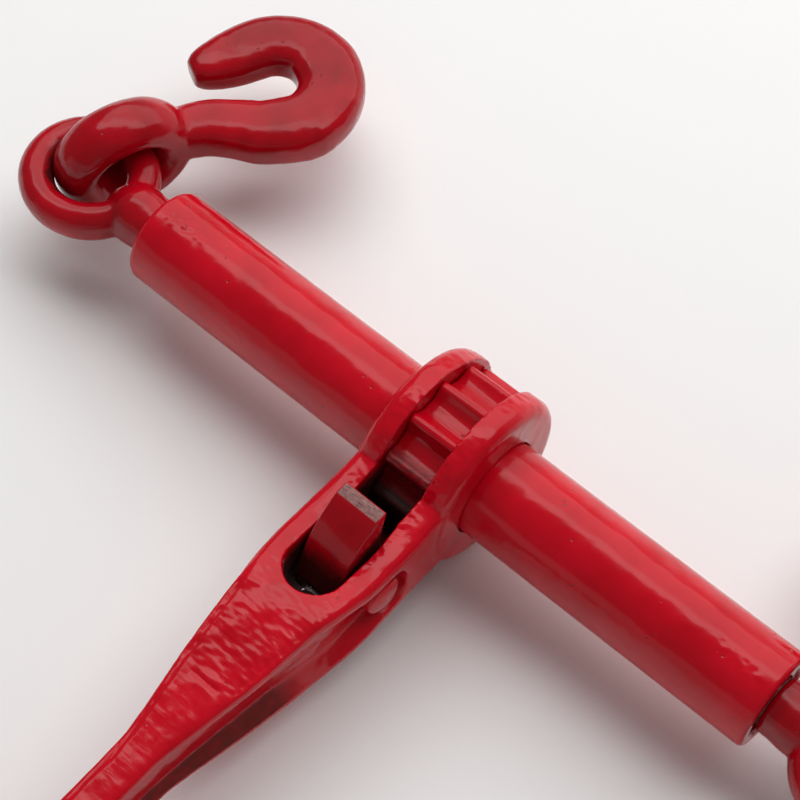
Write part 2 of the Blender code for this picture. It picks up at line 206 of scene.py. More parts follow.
def lumps(point, size, seed=0.0):
    """Smooth noise from -1 to 1 with lumps of about the given size."""
    return noise.noise(point / size + Vector((seed, seed * 1.7, -seed)))


def band(value, low, high, soft):
    """1 inside low..high, falling to 0 over soft outside it."""
    rise = min(1.0, max(0.0, (value - low) / soft + 1.0))
    fall = min(1.0, max(0.0, (high - value) / soft + 1.0))
    return rise * fall


def interpolate(table, y):
    """Smoothly interpolated row of a table whose first column falls."""
    keys = [row[0] for row in table]
    if y >= keys[0]:
        return table[0][1:]
    for i in range(len(table) - 1):
        if y >= keys[i + 1]:
            t = (keys[i] - y) / (keys[i] - keys[i + 1])
            before, after = table[max(i - 1, 0)], table[min(i + 2, len(table) - 1)]
            row, following = table[i], table[i + 1]
            values = []
            for k in range(1, len(row)):
                m0 = (following[k] - before[k]) / (following[0] - before[0]) * (following[0] - row[0])
                m1 = (after[k] - row[k]) / (after[0] - row[0]) * (following[0] - row[0])
                values.append((2 * t ** 3 - 3 * t ** 2 + 1) * row[k] + (t ** 3 - 2 * t ** 2 + t) * m0
                              + (3 * t ** 2 - 2 * t ** 3) * following[k] + (t ** 3 - t ** 2) * m1)
            return values
    return table[-1][1:]


# ---------------------------------------------------------------- materials

SPECULAR = 0.42

ENAMEL = (0.62, 0.002, 0.014)
ENAMEL_DEEP = (0.50, 0.001, 0.009)
GEAR_RED = (0.58, 0.002, 0.014)
GEAR_RED_DEEP = (0.44, 0.001, 0.008)
FITTING_RED = (0.46, 0.002, 0.010)
FITTING_RED_DEEP = (0.30, 0.001, 0.006)
PAWL_RED_DEEP = (0.34, 0.001, 0.006)
# darker brown red laid on the ledge at the bottom of the grip's pocket
DARK_LEDGE_RED = (0.13, 0.010, 0.007)
# painted shade on the pawl, deep in the slot
SLOT_SHADE_RED = (0.035, 0.006, 0.004)
PRIMER = (0.16, 0.025, 0.018)
WORN_PAINT = (0.17, 0.035, 0.035)
WORN_METAL = (0.46, 0.27, 0.25)
STEEL = (0.42, 0.40, 0.38)
SPRING_STEEL = (0.5, 0.49, 0.47)
BLACKENED_STEEL = (0.03, 0.012, 0.009)
# Near black: the film of oil on the steel, and greasy smears with painted shade in the slot and the
# plunger's bore, round the rivet head, where the hook's ring sits in the eye and on the gear by the pawl.
GREASE_AND_SHADE = (0.012, 0.008, 0.007)
PALE_CARD = (0.9, 0.895, 0.89)


class Look:
    """A Principled material built from a few node calls in the piece's own coordinates."""

    def __init__(self, name):
        self.material = bpy.data.materials.new(name)
        self.material.use_nodes = True
        self.tree = self.material.node_tree
        self.shader = self.tree.nodes["Principled BSDF"]
        self.shader.inputs["Specular IOR Level"].default_value = SPECULAR
        self.place = self.tree.nodes.new("ShaderNodeTexCoord").outputs["Object"]

    def add(self, kind, inputs=(), **settings):
        item = self.tree.nodes.new(kind)
        for key, value in settings.items():
            setattr(item, key, value)
        for socket, value in dict(inputs).items():
            self.feed(item.inputs[socket], value)
        return item

    def feed(self, socket, value):
        if isinstance(value, bpy.types.NodeSocket):
            self.tree.links.new(value, socket)
        else:
            socket.default_value = value

    def stretch(self, scale):
        return self.add("ShaderNodeMapping", {"Vector": self.place, "Scale": scale}).outputs["Vector"]

    def noise(self, size, detail=3.0, roughness=0.55, vector=None):
        """Noise from 0 to 1 whose lumps are about size metres."""
        inputs = {"Vector": vector or self.place, "Scale": 1.0 / size}
        inputs.update({"Detail": detail, "Roughness": roughness})
        return self.add("ShaderNodeTexNoise", inputs).outputs["Fac"]

    def math(self, operation, first, second=0.0, clamp=False):
        item = self.add("ShaderNodeMath", {0: first, 1: second}, operation=operation, use_clamp=clamp)
        return item.outputs[0]

    def times(self, first, second):
        return self.math("MULTIPLY", first, second)

    def plus(self, first, second):
        return self.math("ADD", first, second)

    def greater(self, first, second):
        return self.math("MAXIMUM", first, second)

    def magnitude(self, value):
        return self.math("ABSOLUTE", value)

    def distance(self, first, second):
        squares = self.plus(self.math("POWER", first, 2.0), self.math("POWER", second, 2.0))
        return self.math("SQRT", squares)

    def ramp(self, value, low, high, start=0.0, end=1.0):
        """Linear from start at low to end at high, clamped."""
        inputs = {"Value": value, "From Min": low, "From Max": high, "To Min": start, "To Max": end}
        return self.add("ShaderNodeMapRange", inputs).outputs["Result"]

    def blotches(self, size, start, end):
        """Soft patches of about size metres, from start to end."""
        return self.ramp(self.noise(size), 0.3, 0.7, start, end)

    def axis(self, name, source=None):
        return self.add("ShaderNodeSeparateXYZ", {"Vector": source or self.place}).outputs[name]

    def colour(self, factor, first, second):
        item = self.add("ShaderNodeMix", {"Factor": factor}, data_type="RGBA")
        for socket, value in ((item.inputs[6], first), (item.inputs[7], second)):
            self.feed(socket, (*value, 1.0) if isinstance(value, tuple) else value)
        return item.outputs[2]

    def bump(self, height, distance, below=None):
        inputs = {"Height": height, "Distance": distance, "Strength": 1.0}
        if below is not None:
            inputs["Normal"] = below
        return self.add("ShaderNodeBump", inputs).outputs["Normal"]

    def set(self, **sockets):
        for name, value in sockets.items():
            self.feed(self.shader.inputs[name.replace("_", " ").title()], value)
        return self.material


def enamel_surface(look, waviness, peel, bright=ENAMEL, deep=ENAMEL_DEEP, dull_pits=0.0):
    """Colour, roughness and normal shared by every painted piece.

    waviness and peel are the heights of the broad waves and of the orange peel,
    and dull_pits is the roughness that a bare pit adds.
    """
    shade = look.colour(look.ramp(look.noise(18.0 * MM, 2.0), 0.3, 0.7), deep, bright)
    cells = look.add("ShaderNodeTexVoronoi", {"Vector": look.place, "Scale": 260.0, "Randomness": 1.0})
    pitted_patch = look.ramp(look.noise(9.0 * MM, 2.0), 0.52, 0.60)
    pit = look.times(look.ramp(cells.outputs["Distance"], 0.16, 0.06), pitted_patch)
    shade = look.colour(look.times(pit, 0.75), shade, PRIMER)
    rough = look.ramp(look.noise(2.5 * MM, 4.0, 0.6), 0.3, 0.7, 0.10, 0.2)
    if dull_pits:
        rough = look.plus(rough, look.times(pit, dull_pits))
    wave = look.bump(look.noise(12.0 * MM, 2.0, 0.5), waviness)
    skin = look.bump(look.noise(1.6 * MM, 2.0, 0.5), peel, wave)
    normal = look.bump(look.math("SUBTRACT", 1.0, pit), 0.12 * MM, skin)
    return shade, rough, normal


def barrel_look():
    look = Look("barrel_enamel")
    shade, rough, normal = enamel_surface(look, 0.6 * MM, 0.012 * MM)
    streak = look.noise(2.2 * MM, 3.0, 0.5, look.stretch((0.05, 1.0, 1.0)))
    shade = look.colour(look.ramp(streak, 0.55, 0.75, 0.0, 0.35), shade, ENAMEL_DEEP)
    return look.set(base_color=shade, roughness=rough, normal=normal)


def hammer_marks(look, along, facing):
    """Fine ripples across the flat faces of the arm."""
    arm = look.times(look.ramp(along, -190.0 * MM, -165.0 * MM), look.ramp(along, -66.0 * MM, -78.0 * MM))
    flat = look.ramp(look.magnitude(facing), 0.75, 0.92)
    marks = look.noise(2.2 * MM, 3.0, 0.6, look.stretch((0.16, 1.0, 0.3)))
    return look.times(look.times(marks, flat), arm)


def slot_grease_and_shade(look, across, along, height):
    """Grease with painted shade on the walls of the slot, darker deeper down, and in the bore of the
    plunger.
    """
    walls = look.times(look.ramp(across, 10.9 * MM, 10.2 * MM), look.ramp(along, -74.2 * MM, -73.4 * MM))
    walls = look.times(walls, look.ramp(height, 15.5 * MM, 11.5 * MM))
    walls = look.times(walls, look.ramp(along, -14.0 * MM, -26.0 * MM))
    core = look.greater(across, look.magnitude(height))
    bore = look.times(look.ramp(core, 5.6 * MM, 5.0 * MM), look.ramp(along, -102.0 * MM, -100.0 * MM))
    return look.greater(walls, bore)


def rivet_grease_and_shade(look, across, along, height):
    """Grease with painted shade round the rivet, below its head."""
    reach = look.distance(look.plus(along, -PIN_Y), height)
    return look.times(look.ramp(reach, 8.6 * MM, 6.8 * MM), look.ramp(across, 17.2 * MM, 15.0 * MM))


def pocket_ledge(look, along, height, facing):
    """The upward face at the bottom of the pocket in the grip."""
    ledge = look.times(look.ramp(height, -6.6 * MM, -7.2 * MM), look.ramp(height, -15.0 * MM, -14.4 * MM))
    grip = look.times(look.ramp(facing, 0.25, 0.5), look.ramp(along, -84.0 * MM, -94.0 * MM))
    return look.times(ledge, grip)


def handle_look():
    look = Look("handle_enamel")
    shade, rough, normal = enamel_surface(look, 0.8 * MM, 0.03 * MM, dull_pits=0.3)
    across, along, height = look.magnitude(look.axis("X")), look.axis("Y"), look.axis("Z")
    facing = look.axis("Z", look.add("ShaderNodeNewGeometry").outputs["Normal"])
    normal = look.bump(hammer_marks(look, along, facing), 0.1 * MM, normal)
    ledge = pocket_ledge(look, along, height, facing)
    # the ledge at the bottom of the pocket is made a darker brown red
    shade = look.colour(look.times(ledge, look.blotches(4.0 * MM, 0.75, 1.0)), shade, DARK_LEDGE_RED)
    # Greasy smears with painted shade darken the slot, the plunger's bore and the ring round the rivet head.
    inside = slot_grease_and_shade(look, across, along, height)
    grease_and_shade_mask = look.greater(inside, look.times(rivet_grease_and_shade(look, across, along, height), 0.8))
    shade = look.colour(look.times(grease_and_shade_mask, look.blotches(3.0 * MM, 0.85, 1.0)), shade, GREASE_AND_SHADE)
    rough = look.plus(rough, look.times(look.greater(inside, ledge), 0.5))
    return look.set(base_color=shade, roughness=rough, normal=normal)


def fitting_look():
    """Darker enamel of the eyes and hooks, near black with greasy smears and painted shade where the hook's
    ring bears on the eye.
    """
    look = Look("fitting_enamel")
    shade, rough, normal = enamel_surface(look, 0.7 * MM, 0.02 * MM, FITTING_RED, FITTING_RED_DEEP)
    outward = look.plus(look.magnitude(look.axis("X")), HOOK_PIVOT_X)
    reach = look.distance(outward, look.axis("Y"))
    ragged = look.plus(reach, look.times(look.noise(3.0 * MM), 4.0 * MM))
    ring_grease_and_shade = look.ramp(ragged, 16.0 * MM, 14.0 * MM)
    # greasy smears with painted shade where the ring sits in the eye
    shade = look.colour(look.times(ring_grease_and_shade, 0.85), shade, GREASE_AND_SHADE)
    return look.set(base_color=shade, roughness=rough, normal=normal)


def gear_look():
    """Enamel made near black by the pawl with thick, greasy smears and painted shade, where the pawl and the
    cheeks shade the lower flutes, and a smeared greasy streak on the ridge above it.
    """
    look = Look("gear_enamel")
    shade, rough, normal = enamel_surface(look, 0.3 * MM, 0.015 * MM, GEAR_RED, GEAR_RED_DEEP)
    along = look.axis("Y")
    smear = look.ramp(look.noise(1.2 * MM, 4.0, 0.75), 0.3, 0.55)
    near_pawl = look.ramp(along, -22.2 * MM, -25.5 * MM)
    ridge = look.times(look.ramp(along, -15.0 * MM, -19.0 * MM), look.ramp(along, -24.5 * MM, -21.5 * MM))
    # painted shade with thick, greasy smears on the flutes by the pawl; the thin streak on the ridge is
    # greasy smearing alone
    thick = look.times(near_pawl, look.ramp(smear, 0.0, 1.0, 0.86, 0.98))
    thin = look.times(ridge, look.ramp(smear, 0.0, 1.0, 0.3, 0.75))
    gear_grease_and_shade = look.math("ADD", thick, thin, True)
    shade = look.colour(gear_grease_and_shade, shade, GREASE_AND_SHADE)
    rough = look.plus(rough, look.times(gear_grease_and_shade, 0.22))
    return look.set(base_color=shade, roughness=rough, normal=normal)


def pawl_look():
    """Enamel with painted shade that darkens it in the depth of the slot."""
    look = Look("pawl_enamel")
    shade, rough, normal = enamel_surface(look, 0.4 * MM, 0.02 * MM, FITTING_RED, PAWL_RED_DEEP)
    # painted shade: the pawl grows darker deeper in the slot
    level = look.plus(look.axis("Z"), look.times(look.noise(4.0 * MM), 5.0 * MM))
    depth = look.ramp(level, 21.5 * MM, 16.5 * MM)
    shade = look.colour(look.times(depth, 0.95), shade, SLOT_SHADE_RED)
    rough = look.plus(rough, look.times(depth, 0.15))
    return look.set(base_color=shade, roughness=rough, normal=normal)


def worn_look():
    """Bare, hammered metal with paint left in the hollows."""
    look = Look("worn_land")
    grain = look.noise(1.1 * MM, 5.0, 0.8, look.stretch((0.5, 1.0, 1.0)))
    shade = look.colour(look.ramp(grain, 0.36, 0.62), WORN_PAINT, WORN_METAL)
    metal = look.ramp(grain, 0.45, 0.6, 0.1, 0.75)
    rough = look.ramp(grain, 0.3, 0.7, 0.55, 0.38)
    normal = look.bump(look.noise(0.9 * MM, 4.0, 0.7), 0.6 * MM)
    return look.set(base_color=shade, metallic=metal, roughness=rough, normal=normal)


def steel_look(name, colour, oil, smooth=0.22, dull=0.45, metal=0.95):
    """Turned steel under a patchy film of oil."""
    look = Look(name)
    film = look.noise(4.0 * MM, 3.0, 0.6)
    shade = look.colour(look.ramp(film, 0.4, 0.65, 0.0, oil), colour, GREASE_AND_SHADE)
    turning = look.noise(0.6 * MM, 2.0, 0.5, look.stretch((1.0, 0.08, 0.08)))
    normal = look.bump(turning, 0.05 * MM)
    rough = look.ramp(film, 0.3, 0.7, smooth, dull)
    return look.set(base_color=shade, metallic=metal, roughness=rough, normal=normal)


# ---------------------------------------------------------------- pieces

def add_piece(name, mesh, materials, body, replaced=(), location=CENTRE, rotation=(0, 0, 0)):
    item = new_object(name, mesh, location, rotation)
    mesh.materials.clear()
    for material in materials:
        mesh.materials.append(material)
    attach(item, body)
    if replaced:
        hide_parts(*replaced)
    return item


def mirrored(bm, side):
    """Pieces are drawn for the left side, -1, and turned over for the right one, 1."""
    if side > 0:
        bmesh.ops.scale(bm, vec=(-1, 1, 1), verts=bm.verts)
    return bm


def side_name(side):
    return "left" if side < 0 else "right"


def build_barrel(material):
    """Tube with a soft rolled edge, faint waves and crimp marks over both end nuts."""
    edge = 2.2 * MM
    stations = [(-BARREL_HALF, BARREL_BORE_R + 0.6 * MM), (-BARREL_HALF, BARREL_R - edge)]
    for step in range(1, 8):
        angle = math.pi / 2 * step / 8
        stations.append((-BARREL_HALF + edge * (1 - math.cos(angle)),
                         BARREL_R - edge * (1 - math.sin(angle))))
    count = 260
    for i in range(count + 1):
        share = 0.5 - 0.5 * math.cos(math.pi * i / count)
        stations.append((-BARREL_HALF + edge + (2 * BARREL_HALF - 1.8 * edge) * share, BARREL_R))
    near = 0.8 * edge
    for step in range(1, 6):
        angle = math.pi / 2 * step / 5
        stations.append((BARREL_HALF - near * (1 - math.sin(angle)),
                         BARREL_R - near * (1 - math.cos(angle))))
    stations += [(BARREL_HALF, BARREL_BORE_R + 0.6 * MM), (BARREL_HALF - 0.6 * MM, BARREL_BORE_R),
                 (-BARREL_HALF + 0.6 * MM, BARREL_BORE_R)]
    mesh = finish_bmesh(turned(stations, 200, hollow=True), "barrel")
    dents = []
    for sign, around in ((-1, 90.0), (1, 80.0)):
        for i in range(11):
            x = sign * (107.0 + 1.5 * i + 0.5 * math.sin(5.0 * i))
            angle = math.radians(around + 5.0 * math.sin(2.3 * i + sign) - 0.4 * i)
            dents.append(Vector((x * MM, -BARREL_R * math.cos(angle), BARREL_R * math.sin(angle))))

    def height(point, normal):
        if point.yz.length < BARREL_R - 2 * MM:
            return 0.0
        total = 0.05 * MM * lumps(Vector((point.x * 0.4, point.y, point.z)), 0.012, 3.0)
        total += 0.014 * MM * lumps(point, 0.004, 7.0)
        for i, dent in enumerate(dents):
            offset = point - dent
            reach = (offset.x / (1.1 * MM)) ** 2 + (offset.yz.length / (0.9 * MM)) ** 2
            if reach < 6.0:
                depth = (0.24 if point.x < 0 else 0.13) * MM
                total -= depth * (1 if i % 2 else -0.7) * math.exp(-reach)
        return total

    sculpt(mesh, height)
    add_piece("barrel", shaded(mesh, 60), [material], "barrel", ("barrel_tube",))


def build_gear(material):
    """Narrow rounded ridges joined by wide concave flutes, with eased edges."""
    pitch = math.tau / GEAR_TEETH
    ridge = math.radians(3.9)
    drop = 1.5 * MM
    steps = 30

    def radius_at(turn):
        offset = abs((turn + pitch / 2) % pitch - pitch / 2)
        if offset < ridge:
            return GEAR_TIP_R - drop * (1 - math.sqrt(max(0.0, 1 - (offset / ridge) ** 2)))
        t = (offset - ridge) / (pitch / 2 - ridge)
        top = GEAR_TIP_R - drop
        return GEAR_ROOT_R + (top - GEAR_ROOT_R) * (1 - min(1.0, t / 0.7)) ** 2.0

    rings = []
    ease = 0.7 * MM
    layers = ((-GEAR_HALF, 17.3 * MM, 0), (-GEAR_HALF, 0, ease), (-GEAR_HALF + 0.3 * ease, 0, 0.3 * ease),
              (-GEAR_HALF + ease, 0, 0), (GEAR_HALF - ease, 0, 0), (GEAR_HALF - 0.3 * ease, 0, 0.3 * ease),
              (GEAR_HALF, 0, ease), (GEAR_HALF, 17.3 * MM, 0))
    for x, fixed, inset in layers:
        ring = []
        for i in range(GEAR_TEETH * steps):
            turn = math.tau * i / (GEAR_TEETH * steps)
            radius = fixed or radius_at(turn) - inset
            angle = turn + math.radians(GEAR_PHASE_DEG)
            ring.append((x, -radius * math.cos(angle), radius * math.sin(angle)))
        rings.append(ring)
    mesh = finish_bmesh(loft(rings, closed=True), "gear")
    add_piece("gear", shaded(mesh, 38), [material], "barrel", ("ratchet_gear",))


# y, half width, half height, corner radius of the arm and the grip, in millimetres
ARM = (
    (-8.0, 17.2, 22.4, 5.0), (-20.0, 17.6, 19.0, 5.0), (-32.0, 18.0, 16.6, 4.6), (-48.0, 18.2, 16.0, 4.2),
    (-60.0, 18.1, 17.0, 4.0), (-70.0, 17.0, 18.6, 3.8), (-80.0, 15.4, 19.5, 3.6), (-90.0, 14.3, 18.8, 3.4),
    (-100.0, 13.1, 17.7, 3.2), (-110.0, 11.6, 16.7, 3.0), (-120.0, 9.9, 15.8, 3.0), (-130.0, 8.1, 15.1, 2.8),
    (-139.0, 6.9, 14.6, 2.6), (-165.0, 6.7, 14.1, 2.6), (-230.0, 6.7, 14.0, 2.6), (-290.0, 7.2, 14.4, 3.0),
    (-308.0, 7.2, 13.4, 3.4), (-315.0, 6.4, 10.6, 3.4), (-317.6, 4.8, 7.6, 3.2))
# y, half thickness of the web, half height of its floor, half height at the lip
POCKET = (
    (-41.0, 17.8, 1.0, 2.0), (-42.6, 14.0, 5.2, 6.4), (-46.0, 12.4, 8.0, 10.0), (-54.0, 12.3, 8.2, 10.6),
    (-62.0, 12.4, 8.4, 12.6), (-75.0, 12.0, 8.6, 15.4), (-86.0, 10.2, 8.6, 15.4), (-98.0, 8.0, 8.4, 13.6),
    (-112.0, 6.4, 8.6, 12.8), (-126.0, 4.8, 8.8, 12.2), (-140.0, 3.6, 8.8, 11.8), (-165.0, 3.2, 8.4, 11.2),
    (-230.0, 3.2, 8.2, 11.0), (-284.0, 3.2, 8.2, 11.0), (-291.0, 3.6, 5.5, 8.0), (-295.0, 6.6, 2.0, 3.0))


def rounded_ring(y, half_width, half_height, radius, steps=5):
    ring = []
    for quarter in range(4):
        for step in range(steps + 1):
            angle = math.pi / 2 * (quarter + step / steps)
            side_x = 1 if quarter in (0, 3) else -1
            side_z = 1 if quarter in (0, 1) else -1
            ring.append(Vector((side_x * (half_width - radius) + radius * math.cos(angle), y,
                                side_z * (half_height - radius) + radius * math.sin(angle))) * MM)
    return ring


def arm_solid():
    rings = []
    y = ARM[0][0]
    while y > ARM[-1][0]:
        rings.append(rounded_ring(y, *interpolate(ARM, y)))
        y -= 3.0 if y > -150.0 or y < -300.0 else 8.0
    rings.append(rounded_ring(*ARM[-1]))
    return loft(rings)


def pocket_cutter(sign):
    rings = []
    y = POCKET[0][0]
    while y > POCKET[-1][0]:
        web, floor, lip = interpolate(POCKET, y)
        half_width = interpolate(ARM, y)[0]
        outer = max(half_width, web + 0.5) + 0.4
        points = ((web, -floor), (web, floor), (outer, lip), (outer + 12, lip + 2),
                  (outer + 12, -lip - 2), (outer, -lip))
        rings.append([Vector((sign * x, y, z)) * MM for x, z in points])
        y -= 1.5 if y > -60.0 or y < -282.0 else 4.0
    return loft(rings)


def slot_cutter():
    """Slot with a round end, a little tighter in its lower half."""
    outline = [(SLOT_HALF, -46.0), (HEAD_SLOT_HALF, -36.0), (HEAD_SLOT_HALF, 80.0), (-HEAD_SLOT_HALF, 80.0),
               (-HEAD_SLOT_HALF, -36.0), (-SLOT_HALF, -46.0)]
    for i in range(25):
        angle = math.pi * (1 + i / 24)
        outline.append((SLOT_HALF * math.cos(angle), SLOT_END_Y + SLOT_HALF + SLOT_HALF * math.sin(angle)))
    levels = ((-80.0, SLOT_LOWER_HALF), (-10.0, SLOT_LOWER_HALF), (0.0, SLOT_HALF), (80.0, SLOT_HALF))
    return loft([[Vector((max(-limit, min(limit, x)), y, z)) * MM for x, y in outline]
                 for z, limit in levels])


def bore_cutter(radius, y, length=80.0, segments=96):
    rings = []
    for x in (-length, length):
        rings.append([(x * MM, y * MM + radius * MM * math.cos(a), radius * MM * math.sin(a))
                      for a in (math.tau * i / segments for i in range(segments))])
    return loft(rings)


def head_solid():
    """Disc round the barrel with a generous roll on its outer edges."""
    roll = 5.0
    half = []
    for step in range(7):
        angle = math.pi / 2 * step / 6
        half.append((HEAD_HALF - roll * (1 - math.sin(angle)),
                     HEAD_R - roll * (1 - math.cos(angle)) * 0.9))
    profile = [(-x * MM, r * MM) for x, r in reversed(half)] + [(x * MM, r * MM) for x, r in half]
    return turned(profile, 120)


def plunger_bore():
    radius = PLUNGER_BORE_R * MM
    return loft([[(radius * math.cos(a), y * MM, radius * math.sin(a))
                  for a in (math.tau * i / 32 for i in range(32))] for y in (-98.5, -60.0)])


def handle_height(point, normal):
    """Forging marks: hammered ripples, a trimmed seam on the left and chipped slot rims."""
    x, y, z = point / MM
    upward = min(1.0, max(0.0, abs(normal.z) - 0.6) / 0.35)
    total = 0.12 * lumps(point, 0.009, 2.0) + 0.06 * lumps(point, 0.0036, 5.0)
    reach = math.hypot(y, z)
    if reach > 28.0 and y > -34.0:
        crinkle = noise.noise(Vector((x * 0.25, y * 0.5, z * 0.5)) + Vector((9.0, 0.0, 0.0)))
        total += 0.2 * crinkle * band(abs(x), 8.0, 13.5, 2.5)
    if y < -30.0:
        half_width = interpolate(ARM, y)[0]
        ripple = noise.noise(Vector((x * 0.07, y * 0.5, 11.0))) * (0.6 + lumps(point, 0.011, 6.0))
        total += 0.08 * upward * ripple * band(y, -150.0, -80.0, 12.0)
        blotch = noise.noise(Vector((x * 0.14, y * 0.15, 8.0)))
        blotch += 0.7 * noise.noise(Vector((x * 0.3, y * 0.62, 2.0)))
        total += 0.27 * upward * blotch * band(y, -108.0, -70.0, 8.0)
        rim_edge = 11.4 + 1.2 * noise.noise(Vector((y * 0.2, x, 1.0)))
        rim = band(abs(x), 9.0, rim_edge, 1.0) * band(y, -72.0, -30.0, 4.0)
        chips = noise.noise(Vector((x * 0.28, y * 0.42, 3.0)))
        chips += 0.7 * noise.noise(Vector((x * 0.6, y * 0.7, 5.0)))
        total += (0.5 if x > 0 else 0.18) * rim * upward * chips
        crown = 0.3 + 0.8 * band(y, -106.0, -84.0, 8.0)
        total -= crown * upward * (x / half_width) ** 2 * band(y, -290.0, -84.0, 8.0)
        cut = math.exp(-((y + 111.5) / 0.8) ** 2) * band(x, -4.0, 5.0, 1.0)
        shallow_cut = math.exp(-((y + 107.5) / 1.2) ** 2) * band(x, 0.0, 4.0, 1.5)
        total -= upward * (0.45 * cut + 0.3 * shallow_cut)
        seam = -half_width + 3.2 + 0.7 * noise.noise(Vector((y * 0.12, 0.0, 3.0)))
        if x < seam:
            total -= 0.42 * upward * min(1.0, (seam - x) / 0.6) * band(y, -300.0, -86.0, 10.0)
    return total * MM


def build_handle(material):
    cutters = [slot_cutter(), bore_cutter(HANDLE_BORE_R, 0.0), pocket_cutter(-1), pocket_cutter(1),
               bore_cutter(5.0, PIN_Y / MM, segments=32), plunger_bore()]
    mesh = forged("handle_forging", [arm_solid(), head_solid()], cutters, HANDLE_VOXEL, 4)
    sculpt(mesh, handle_height)
    add_piece("handle_forging", mesh, [material], "handle", ("handle",))


def build_pawl(paint, worn):
    half_flat = PAWL_BACK * math.tan(math.radians(PAWL_FLIP_DEG / 2))
    turn = math.radians(PAWL_FLIP_DEG)
    run = half_flat + 5.0
    corner = (-PAWL_BACK, half_flat)
    flat_end = (corner[0] + run * math.sin(turn), corner[1] + run * math.cos(turn))
    horn = [(-3.6, 15.2), (0.8, 19.0), (8.4, 22.3), (16.2, 24.0), (20.8, 22.4), (17.6, 18.0), (15.1, 14.4),
            (12.4, 10.0), (10.6, 6.0)]
    upper = [corner, flat_end] + horn
    outline = upper + [(u, -v) for u, v in reversed(upper)]
    bm = loft([[Vector((x, u, v)) * MM for u, v in outline] for x in (-PAWL_HALF, PAWL_HALF)])
    base = new_object("pawl_base", finish_bmesh(bm, "pawl_base"), (0, 0, 0))
    bore = finish_bmesh(bore_cutter(5.1, 0.0, segments=48), "pawl_tool")
    tool = new_object("pawl_tool", bore, (0, 0, 0))
    cut = base.modifiers.new("Bore", "BOOLEAN")
    cut.operation = "DIFFERENCE"
    cut.object = tool
    bevel = base.modifiers.new("Bevel", "BEVEL")
    bevel.width = 0.55 * MM
    bevel.segments = 3
    bevel.limit_method = "ANGLE"
    bevel.angle_limit = math.radians(28)
    mesh = baked_mesh(base, "pawl_block")
    bpy.data.objects.remove(tool, do_unlink=True)
    (u_back, v_back), (u_front, v_front) = horn[3:5]
    land_normal = Vector((0, v_back - v_front, u_front - u_back)).normalized()
    location = CENTRE + Vector((0, PIN_Y, 0))
    item = add_piece("pawl_block", shaded(mesh, 32), [paint, worn], "pawl", ("pawl",),
                     location, (turn, 0, 0))
    for polygon in item.data.polygons:
        normal, middle = polygon.normal, polygon.center
        facing = Vector((0, normal.y, abs(normal.z)))
        if facing.dot(land_normal) > 0.97 and abs(middle.z) > 21 * MM:
            polygon.material_index = 1


def build_rivet(material):
    """Rivet with a thick, slightly domed and hammered head on both sides."""
    shank_r, head_r, rim_x, dome = 4.75, 7.0, 16.0, 2.3
    half = [(11.2, shank_r), (12.5, shank_r), (12.5, 6.7), (12.8, head_r), (rim_x, head_r)]
    for step in range(1, 9):
        angle = math.pi / 2 * step / 9
        half.append((rim_x + dome * math.sin(angle), head_r * math.cos(angle) ** 0.7))
    profile = [(-x * MM, r * MM) for x, r in reversed(half)] + [(x * MM, r * MM) for x, r in half]
    mesh = finish_bmesh(turned(profile, 64), "rivet")

    def height(point, normal):
        return 0.12 * MM * lumps(point, 0.0028, 6.0) if abs(point.x) > 13.8 * MM else 0.0

    sculpt(mesh, height)
    add_piece("rivet", shaded(mesh, 50), [material], "handle", ("pawl_pin",),
              CENTRE + Vector((0, PIN_Y, 0)))


def swept_ring(centre, semi, bar, plane_axes, path_steps=72, bar_steps=28):
    axis_a, axis_b = plane_axes
    across = axis_a.cross(axis_b)
    rings = []
    for i in range(path_steps):
        angle = math.tau * i / path_steps
        point = centre + axis_a * semi[0] * math.cos(angle) + axis_b * semi[1] * math.sin(angle)
        normal = (axis_a * math.cos(angle) / semi[0] + axis_b * math.sin(angle) / semi[1]).normalized()
        rings.append([point + normal * bar[0] * math.cos(t) + across * bar[1] * math.sin(t)
                      for t in (math.tau * j / bar_steps for j in range(bar_steps))])
    return loft(rings, closed=True)


def fitting_height(point, normal):
    """Soft lumps of a forged and painted surface."""
    return 0.12 * MM * lumps(point, 0.008, 4.0) + 0.05 * MM * lumps(point, 0.0032, 9.0)


def build_eye(side, material):
    """Neck and eye of the bolt, forged in one with a collar-like swell between them."""
    neck = turned([(x * MM, r * MM) for x, r in (
        (-127.0, 8.9), (-127.9, 10.0), (-132.0, 10.0), (-135.5, 10.6), (-139.5, 10.8), (-143.0, 9.8),
        (-147.0, 7.4), (-150.5, 4.0))], 64)
    ring = swept_ring(Vector((EYE_X, 0, 0)), (19.0 * MM, 17.5 * MM), (6.2 * MM, 6.75 * MM),
                      (Vector((1, 0, 0)), Vector((0, 1, 0))))
    mesh = forged("eye", [mirrored(neck, side), mirrored(ring, side)], [], FITTING_VOXEL, 6)
    sculpt(mesh, fitting_height)
    name = side_name(side)
    add_piece(name + "_eye", mesh, [material], name + "_screw", (name + "_eye_bolt",))


